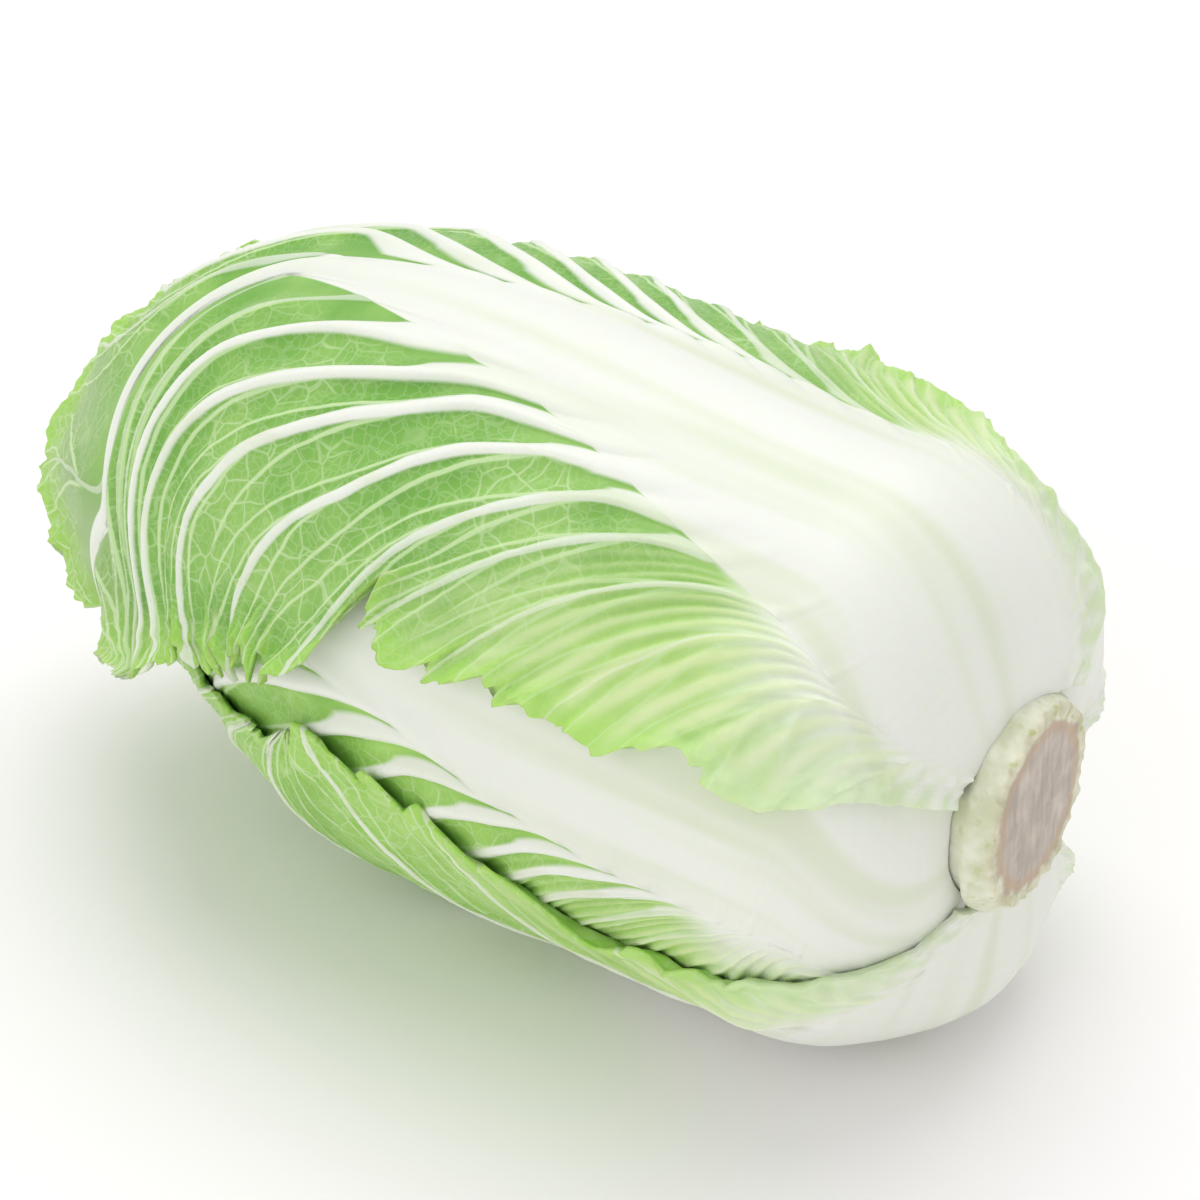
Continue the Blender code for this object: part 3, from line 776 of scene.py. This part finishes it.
def relief_tree():
    """Geometry nodes that raise ribs, branches, net, pleats and crumples on a sheet."""
    tree = bpy.data.node_groups.new("leaf_relief", "GeometryNodeTree")
    keys = {"Geometry": add_input(tree, "Geometry", "NodeSocketGeometry")}
    for name in (*vein_sizes(leaf_top), *relief_sizes(leaf_top)):
        keys[name] = add_input(tree, name, "NodeSocketFloat")
    keys["Finish"] = add_input(tree, "Finish", "NodeSocketMaterial")
    tree.interface.new_socket("Geometry", in_out="OUTPUT", socket_type="NodeSocketGeometry")
    maker = Maker(tree)
    given = {field.socket.name: field for field in maker.node("NodeGroupInput")}

    def read(label, vector=False):
        kind = "FLOAT_VECTOR" if vector else "FLOAT"
        return maker.node("GeometryNodeInputNamedAttribute", {"data_type": kind}, label)[0]

    broad = {**given, "Branch Width": given["Branch Width"] * BROAD_BRANCH}
    veins = vein_fields(maker, read, broad)
    share, origin, number = read("share"), read("origin"), read("number")
    spot, flat, out = read("spot", True), read("flat", True), read("out", True)
    edge = 1.0 - read("rim").ease(0.002, 0.021)
    grown = share.ease(0.02, 0.3)

    raised = given["Rib Rise"] * veins["height"] * (0.6 + 0.4 * share.ease(0.0, 0.1))
    raised = raised + given["Branch Height"] * veins["branch"] * (1.0 - 0.4 * share)
    strand = (1.0 - veins["net"].ease(0.02, 0.17)) * grown * (1.0 - veins["rib"])
    raised = raised + given["Net Height"] * strand
    young = (1.0 - origin.ease(0.06, 0.115)) * origin.ease(0.01, 0.035)
    fold = pleat_wave(maker, number, spot)
    raised = raised + given["Fold Height"] * fold * young * share.ease(0.0, 0.16) * (1.0 - 0.5 * share)

    _, grooves = flute_place(maker, flat, given["Seed"])
    flute = (maker.noise(grooves, 1.0, 1.0) - 0.5) * (1.0 - share.ease(0.0, 0.1))
    raised = raised + given["Flute Height"] * 2.0 * flute

    puff = veins["net"].ease(0.0, 0.4) * given["Puff Height"] * (0.12 + edge)
    crumple = maker.noise(spot, 1.0 / given["Crumple Size"]) - 0.45
    bubble = maker.noise(spot, 1.0 / given["Bubble Size"], 1.0) - 0.4
    wave = crumple * given["Crumple Height"] * (0.2 + 1.3 * edge) + puff
    wave = wave + bubble * given["Bubble Height"] * edge * origin.ease(0.09, 0.15)
    lifted = (raised * read("face") + wave * grown) * read("give")
    shift = maker.vector("SCALE", out, Scale=lifted)
    moved = maker.node("GeometryNodeSetPosition", None, Geometry=given["Geometry"], Offset=shift)[0]
    real = maker.node("GeometryNodeRealizeInstances", None, moved)[0]
    done = maker.node("GeometryNodeSetMaterial", None, Geometry=real, Material=given["Finish"])[0]
    maker.node("NodeGroupOutput", None, done)
    return tree, keys


RELIEF, RELIEF_KEYS = relief_tree()
print("relief tree:", len(RELIEF.nodes), "nodes")


# %% Turning a tree's result into a plain mesh
def bake_tree(sheet, tree, keys, name, sizes, finish):
    """Run a tree on a sheet and keep the result as one plain mesh object."""
    modifier = sheet.modifiers.new("grow", "NODES")
    modifier.node_group = tree
    for label, size in sizes.items():
        modifier[keys[label]] = size
    modifier[keys["Finish"]] = finish
    view = bpy.context.evaluated_depsgraph_get()
    mesh = bpy.data.meshes.new_from_object(sheet.evaluated_get(view), depsgraph=view)
    mesh.name = name
    sheet.modifiers.remove(modifier)
    bpy.data.objects.remove(sheet)
    return add_object(name, mesh)


# %% [markdown]
# The finish of a leaf goes from a moist white midrib, with faint grey-green flutes along it, through a
# cream-yellow base to a light green blade that turns yellow-green at its edge. That edge band is also
# painted brighter, widest at the tip, as painted light shining through the thin margin. It could be one
# picture wrapped on the leaf, but a formula stays sharp at any size: the same vein pattern is painted
# here, with finer lines than the mesh can hold.

# %% Colours of the leaves
LIGHT_DEPTH = 0.003
RIB_WHITE = (0.84, 0.86, 0.79, 1.0)
FLUTE_GREY = (0.64, 0.72, 0.46, 1.0)
VEIN_PALE = (0.60, 0.77, 0.42, 1.0)
YOUNG_CREAM = (0.72, 0.83, 0.44, 1.0)
YOUNG_GREEN = (0.48, 0.72, 0.21, 1.0)
TIP_GREEN = (0.33, 0.48, 0.19, 1.0)
# Yellow-green of the margin: partly its own colour, partly painted light shining through the thin edge.
EDGE_GREEN_AND_LIGHT_THROUGH = (0.40, 0.70, 0.12, 1.0)
# Blade greens: the first pair for the upper leaves in the light, the second a lighter copy for the leaves
# lying low in shade, painted fill light that lifts their shade.
OUTER_GREENS = ((0.17, 0.42, 0.06, 1.0), (0.31, 0.56, 0.13, 1.0))
SHADE_LIFTED_GREENS = ((0.24, 0.50, 0.07, 1.0), (0.38, 0.66, 0.14, 1.0))


def start_material(name):
    """A new material, its Maker and its Principled BSDF."""
    material = bpy.data.materials.new(name)
    material.use_nodes = True
    return material, Maker(material.node_tree), material.node_tree.nodes["Principled BSDF"]


def cover(maker, shader, colour, roughness, height, bump_strength, bump_depth):
    """Give a shader its colour, its roughness and its bump."""
    bump = maker.node("ShaderNodeBump", None, Strength=bump_strength, Distance=bump_depth, Height=height)[0]
    for label, field in (("Base Color", colour), ("Roughness", roughness), ("Normal", bump)):
        maker.tree.links.new(field.socket, shader.inputs[label])


def fill(node, **values):
    """Set inputs of a node by their names."""
    for label, value in values.items():
        node.inputs[label.replace("_", " ")].default_value = value


def value_reader(maker):
    """A function that reads a mesh's point values into a material."""
    def read(label, vector=False):
        return maker.node("ShaderNodeAttribute", {"attribute_name": label})[1 if vector else 2]
    return read


# %% Leaf finish
def leaf_finish(leaf, greens):
    """Fresh leaf: white midrib and ribs, green blade, pale branches and a fine net."""
    material, maker, shader = start_material(leaf.name + "_fresh")
    read = value_reader(maker)
    veins = vein_fields(maker, read, vein_sizes(leaf))
    share, origin, rim, away = read("share"), read("origin"), read("rim"), read("away")
    strength = read("strength")
    spot, flat = read("spot", True), read("flat", True)
    arc, streaks = flute_place(maker, flat, float(leaf.seed))
    cloud = maker.noise(spot, 55.0, 3.0)
    patch = maker.noise(spot, 16.0, 1.0)

    green = maker.mix((cloud * 0.7 + patch * 0.6 - 0.15).ease(0.3, 0.72), *greens)
    tip = arc.ease(0.27, 0.36) * (1.0 - 0.6 * cloud)
    green = maker.mix(tip, green, TIP_GREEN)
    young = 1.0 - origin.ease(0.035, 0.112)
    newest = 1.0 - origin.ease(0.012, 0.045)
    fold = pleat_wave(maker, read("number"), spot)
    cream = maker.mix((fold * 0.4 + cloud * 0.6 + 0.15).ease(0.0, 1.0), YOUNG_GREEN, YOUNG_CREAM)
    green = maker.mix(young * 0.9, green, cream)
    # Margin band, wider toward the tip: its own yellow-green plus painted light shining through the edge.
    edge = 1.0 - ((rim + (cloud - 0.5) * 0.012) / (0.014 + 0.024 * tip)).ease(0.0, 1.0)
    green = maker.mix(edge * 0.8, green, EDGE_GREEN_AND_LIGHT_THROUGH)

    lines = (1.0 - veins["net"].ease(0.012, 0.05)) * (cloud + patch).ease(0.75, 1.2)
    hairs = (1.0 - veins["fine"].ease(0.02, 0.1)) * 0.35
    drawn = lines.most(hairs) * share.ease(0.03, 0.2) * (1.0 - 0.7 * young)
    green = maker.mix(drawn * 0.62, green, VEIN_PALE)
    green = maker.mix(veins["branch"].ease(0.1, 0.9) * 0.85 * (1.0 - 0.6 * young), green, VEIN_PALE)

    streak = 1.0 - maker.noise(streaks, 1.0, 1.5)
    white = maker.mix(streak.ease(0.48, 0.72) * (0.15 + 0.6 * patch), RIB_WHITE, FLUTE_GREY)
    reach = 0.0015 + 0.042 * young * young
    pale = 1.0 - (away / reach + (cloud - 0.5) * 0.4 + fold * 0.12 * young).ease(0.0, 1.0)
    pale = pale.most(newest * 0.6)
    ribbed = veins["rib"].ease(0.05, 0.6) * (1.22 - 0.5 * share).least(1.0) * (0.3 + strength).least(1.0)
    body = maker.mix(pale.most(ribbed), green, white)

    grain = maker.noise(spot, 800.0)
    height = drawn * 0.6 + grain * 0.22 - (1.0 - veins["fine"].ease(0.0, 0.3)) * 0.2 * share
    cover(maker, shader, body, 0.36 + 0.16 * cloud + 0.06 * hairs, height, 0.3, 0.0005)
    fill(shader, Subsurface_Weight=0.3, Subsurface_Radius=(0.8, 1.0, 0.4), Subsurface_Scale=LIGHT_DEPTH,
         Specular_IOR_Level=0.4)
    return material


# %% Grow the five leaves
pieces = {}
for leaf in LEAVES:
    sizes = {**vein_sizes(leaf), **relief_sizes(leaf)}
    # The leaves lying low in shade get the lighter greens: painted fill light.
    finish = leaf_finish(leaf, OUTER_GREENS if leaf.name in ("leaf_top", "leaf_back") else SHADE_LIFTED_GREENS)
    piece = bake_tree(grow_sheet(leaf), RELIEF, RELIEF_KEYS, leaf.name + "_fine", sizes, finish)
    pieces[leaf.name] = piece
    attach(piece, "root")
    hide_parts(leaf.name)
print("leaves:", sum(len(piece.data.polygons) for piece in pieces.values()), "triangles in all")


# %% [markdown]
# The stem is cut flat. Its face shows a greyish pink core of fibres, a tan ring and a pale, ragged rim
# where the outermost leaves were broken off, and under the rim its skin flares out over the leaf bases.
# It is turned like a bowl from one profile, then roughened by formula.

# %% Sizes of the stem
STEM_R = 24.0 * MM
STEM_SEAT_R = 25.6 * MM
STEM_SEAT_END = 23.0 * MM
CORE_R = 16.5 * MM
CORE_END = 72.0 * MM
CORE_TIP_R = 3.5 * MM
CUT_LEAN = 0.13
LEAN_DEPTH = 15.0 * MM
RING_R = 19.6 * MM
SKIRT = ((0.0, 1.01), (0.4, 1.03), (1.0, 1.04), (2.0, 1.05), (3.2, 1.06), (4.2, 1.07), (5.0, 1.09),
         (6.0, 1.10))
STEM_SIDES = 240
CORE_PINKS = ((0.42, 0.36, 0.30, 1.0), (0.68, 0.60, 0.52, 1.0))
RING_TAN = (0.56, 0.40, 0.25, 1.0)
RIM_CREAMS = ((0.60, 0.58, 0.40, 1.0), (0.82, 0.81, 0.64, 1.0))
SKIN_PALES = ((0.64, 0.66, 0.46, 1.0), (0.84, 0.85, 0.72, 1.0))
RIM_FLECK = (0.46, 0.54, 0.18, 1.0)
SKIN_FLECK = (0.50, 0.56, 0.24, 1.0)


def close_mesh(piece):
    """Merge doubled points and turn every face outward."""
    solid = bmesh.new()
    solid.from_mesh(piece.data)
    bmesh.ops.remove_doubles(solid, verts=solid.verts, dist=1e-6)
    bmesh.ops.recalc_face_normals(solid, faces=solid.faces)
    solid.to_mesh(piece.data)
    solid.free()


def ring_faces(rings, sides):
    """Four-sided faces between closed rings of points."""
    row, column = np.meshgrid(np.arange(rings - 1), np.arange(sides), indexing="ij")
    a = (row * sides + column).ravel()
    b = (row * sides + (column + 1) % sides).ravel()
    return np.stack([a, b, b + sides, a + sides], 1).tolist()


def around_wander(turn, count, seed):
    """A random curve round a circle, with no seam, that turns about count times."""
    return random_curve(turn / TURN * count, count, seed)


def turned_solid(name, rings, values, finish):
    """A closed solid from rings of points, with its point values and its finish."""
    flat_values = {label: value.ravel() for label, value in values.items()}
    made = add_mesh(name, rings.reshape(-1, 3), ring_faces(*rings.shape[:2]), flat_values)
    made.data.materials.append(finish)
    close_mesh(made)
    return made


# %% Stem finish
def stem_finish():
    """Cut stem: fibrous core, tan ring, pale rim and pale green skin."""
    material, maker, shader = start_material("cut_stem")
    read = value_reader(maker)
    radius, east, north, side = read("radius"), read("east"), read("north"), read("side")
    where = maker.node("ShaderNodeTexCoord")[3]
    blot = maker.noise(where, 170.0, 4.0)
    patch = maker.noise(where, 60.0, 2.0)
    torn = maker.noise(maker.combine(east * 9.0, north * 9.0, radius * 160.0), 1.0, 3.0)
    parts = maker.node("ShaderNodeSeparateXYZ", None, where)
    fibre = maker.noise(maker.combine(parts[0] * 90.0, parts[1] * 420.0, parts[2] * 90.0), 1.0, 3.0)
    pith = (fibre * 0.5 + blot * 0.5 + patch * 0.3 - 0.15).ease(0.3, 0.8)
    core = maker.mix(pith, *CORE_PINKS)
    from_ring = abs(radius - RING_R + (blot - 0.5) * 0.004)
    ring = 1.0 - from_ring.ease(0.0004, 0.0026)
    colour = maker.mix(ring * 0.6, core, RING_TAN)
    outside = (radius + (blot - 0.5) * 0.006).ease(RING_R + 0.6 * MM, RING_R + 2.6 * MM)
    cream = maker.mix((torn * 0.5 + blot * 0.6).ease(0.4, 0.75), *RIM_CREAMS)
    fleck = maker.noise(where, 330.0, 1.0).ease(0.60, 0.70)
    cream = maker.mix(fleck * 0.7, cream, RIM_FLECK)
    colour = maker.mix(outside, colour, cream)
    skin = maker.mix((blot * 0.6 + patch * 0.5).ease(0.4, 0.7), *SKIN_PALES)
    skin = maker.mix(fleck * 0.4, skin, SKIN_FLECK)
    colour = maker.mix(side, colour, skin)
    cover(maker, shader, colour, 0.5 + 0.25 * blot, fibre + blot + torn * outside, 0.6, 0.0006)
    fill(shader, Subsurface_Weight=0.2, Subsurface_Radius=(1.0, 0.8, 0.5), Subsurface_Scale=LIGHT_DEPTH)
    return material


# %% Turning the stem
def stem_points():
    """Rings of the stem from the middle of the cut face to the end of the core."""
    face = [(0.0, r) for r in np.linspace(0.0, 0.97, 40) * STEM_R]
    skirt = [(a * MM, r * STEM_R) for a, r in SKIRT]
    seat = [(1.4 * GROOVE_A, STEM_SEAT_R), (STEM_SEAT_END, STEM_SEAT_R), (STEM_SEAT_END, CORE_R),
            (0.5 * (STEM_SEAT_END + CORE_END), 0.62 * CORE_R), (CORE_END, CORE_TIP_R), (CORE_END, 0.0)]
    profile = np.array(face + skirt + seat)
    turn = np.arange(STEM_SIDES) * TURN / STEM_SIDES
    a, r = np.repeat(profile.T[:, :, None], STEM_SIDES, axis=2)
    outline = 0.025 * around_wander(turn, 9, 71) + 0.012 * around_wander(turn, 40, 72)
    beneath = smooth(0.5 - 0.8 * np.sin(turn + 0.35))
    shown = (a < 1.3 * GROOVE_A) & (np.arange(len(profile))[:, None] < len(face) + len(skirt))
    near = smooth(r / STEM_R) * shown
    r = r * (1.0 + outline * near + 0.08 * beneath * near * smooth(a / GROOVE_A))
    torn = 1.1 * around_wander(turn, 64, 73) + 0.6 * around_wander(turn, 120, 74)
    rim = smooth((r - 0.88 * STEM_R) / (0.1 * STEM_R)) * (a < 1.0 * MM)
    across = r * np.cos(turn)
    up = r * np.sin(turn)
    lean = CUT_LEAN * across * np.clip(1.0 - a / LEAN_DEPTH, 0.0, 1.0)
    pitted = 0.3 * around_wander(turn, 53, 75) * smooth(r / (12 * MM)) * (a < 0.1 * MM)
    values = {"radius": r, "east": np.cos(turn) + 0.0 * r, "north": np.sin(turn) + 0.0 * r,
              "side": smooth((a - 0.2 * MM) / (1.2 * MM))}
    return place(a - lean + (torn * rim + pitted) * MM * 0.6, across, up), values


stem_rings, stem_values = stem_points()
stem = turned_solid("stem_fine", stem_rings, stem_values, stem_finish())
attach(stem, "root")
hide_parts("stem")
print("stem:", len(stem.data.polygons), "faces")


# %% [markdown]
# The heart is mostly hidden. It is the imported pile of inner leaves, so its surface is wound with
# overlapping folds, pale yellow with white veins.

# %% Heart finish
HEART_DEPTH = 20.0 * MM
HEART_DEPTH_TIP = 24.0 * MM
HEART_FOLD = 1.6 * MM
HEART_FOLDS = 7.0
HEART_TWIST = 2.2
POCKET_GAP = 0.5 * MM
HEART_SIDES = 200
HEART_ROWS = 130
HEART_YELLOWS = ((0.62, 0.70, 0.24, 1.0), (0.78, 0.82, 0.42, 1.0))
HEART_VEIN = (0.85, 0.88, 0.66, 1.0)


def heart_finish():
    """Packed inner leaves, pale yellow with white veins."""
    material, maker, shader = start_material("packed_heart")
    where = maker.node("ShaderNodeTexCoord")[3]
    cloud = maker.noise(where, 45.0, 3.0)
    cells = maker.cells(where, 110.0)
    colour = maker.mix(cloud.ease(0.3, 0.7), *HEART_YELLOWS)
    colour = maker.mix((1.0 - cells.ease(0.02, 0.14)) * 0.6, colour, HEART_VEIN)
    cover(maker, shader, colour, 0.4 + 0.15 * cloud, 1.0 - cells, 0.4, 0.0006)
    return material


# %% Winding the heart
def heart_points():
    """Rings of the heart from its tip to the base, and on into the pocket for the stem's core."""
    arcs = np.linspace(0.0, 1.0, HEART_ROWS) ** 0.9 * ARC_POLE
    turn = np.linspace(0.0, TURN, HEART_SIDES, endpoint=False)
    arc, angle = np.meshgrid(arcs[::-1], turn, indexing="ij")
    point, normal, tip = guide(arc, 0.0, np.degrees(angle))
    wound = HEART_FOLDS * angle / TURN + HEART_TWIST * arc / ARC_POLE
    ridge = HEART_FOLD * (wound - np.floor(wound)) ** 1.5
    ridge = ridge * smooth(arc / (40 * MM)) * smooth((ARC_POLE - arc) / (30 * MM))
    depth = HEART_DEPTH + (HEART_DEPTH_TIP - HEART_DEPTH) * tip
    points = point + normal * (ridge - depth)[..., None]
    pocket = ((GROOVE_A + HEART_DEPTH, CORE_R + POCKET_GAP),
              (0.5 * (STEM_SEAT_END + CORE_END), 0.62 * CORE_R + 2 * POCKET_GAP),
              (CORE_END + POCKET_GAP, CORE_TIP_R + 2 * POCKET_GAP), (CORE_END + POCKET_GAP, 0.0))
    inside = [place(np.full(HEART_SIDES, a), r * np.cos(turn), r * np.sin(turn)) for a, r in pocket]
    return np.concatenate([points, np.array(inside)])


heart = turned_solid("heart_fine", heart_points(), {}, heart_finish())
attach(heart, "root")
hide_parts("heart")
print("heart:", len(heart.data.polygons), "faces")


# %% [markdown]
# The photograph is a bright studio picture: a white floor with no edge, and one large soft light above
# and behind the head. The world is white too, so that shadows stay pale. A weak light from the front
# keeps the near side readable.

# %% Floor and lights
FLOOR_HALF = 6.0
FLOOR_DROP = 0.2 * MM
FLOOR_WHITE = (0.96, 0.94, 0.94, 1.0)
WORLD_STRENGTH = 0.69
LAMPS = (("soft_behind", (-0.3, 0.6, 2.3), (0.0, 0.0, 0.05), 2.3, 27.0),
         ("soft_front", (0.1, -1.5, 0.75), (0.0, 0.0, 0.06), 1.4, 4.6))


def make_floor():
    corners = ((-1, -1), (1, -1), (1, 1), (-1, 1))
    points = np.array([(x * FLOOR_HALF, y * FLOOR_HALF, -FLOOR_DROP) for x, y in corners])
    floor = add_mesh("floor", points, [(0, 1, 2, 3)], {})
    material, _, shader = start_material("floor_white")
    fill(shader, Base_Color=FLOOR_WHITE, Roughness=0.9, Specular_IOR_Level=0.1)
    floor.data.materials.append(material)


def make_light(name, place_at, aim, size, power):
    data = bpy.data.lights.new(name, "AREA")
    data.shape = "DISK"
    data.size = size
    data.energy = power
    lamp = add_object(name, data)
    lamp.location = place_at
    lamp.rotation_euler = (Vector(aim) - Vector(place_at)).to_track_quat("-Z", "Y").to_euler()


make_floor()
for lamp in LAMPS:
    make_light(*lamp)
world = bpy.data.worlds.new("studio")
world.use_nodes = True
fill(world.node_tree.nodes["Background"], Color=(1.0, 1.0, 1.0, 1.0), Strength=WORLD_STRENGTH)
bpy.context.scene.world = world
bpy.context.scene.view_settings.view_transform = "Standard"

# %% The pieces made
print("pieces:", ", ".join(sorted(pieces)), "stem, heart")
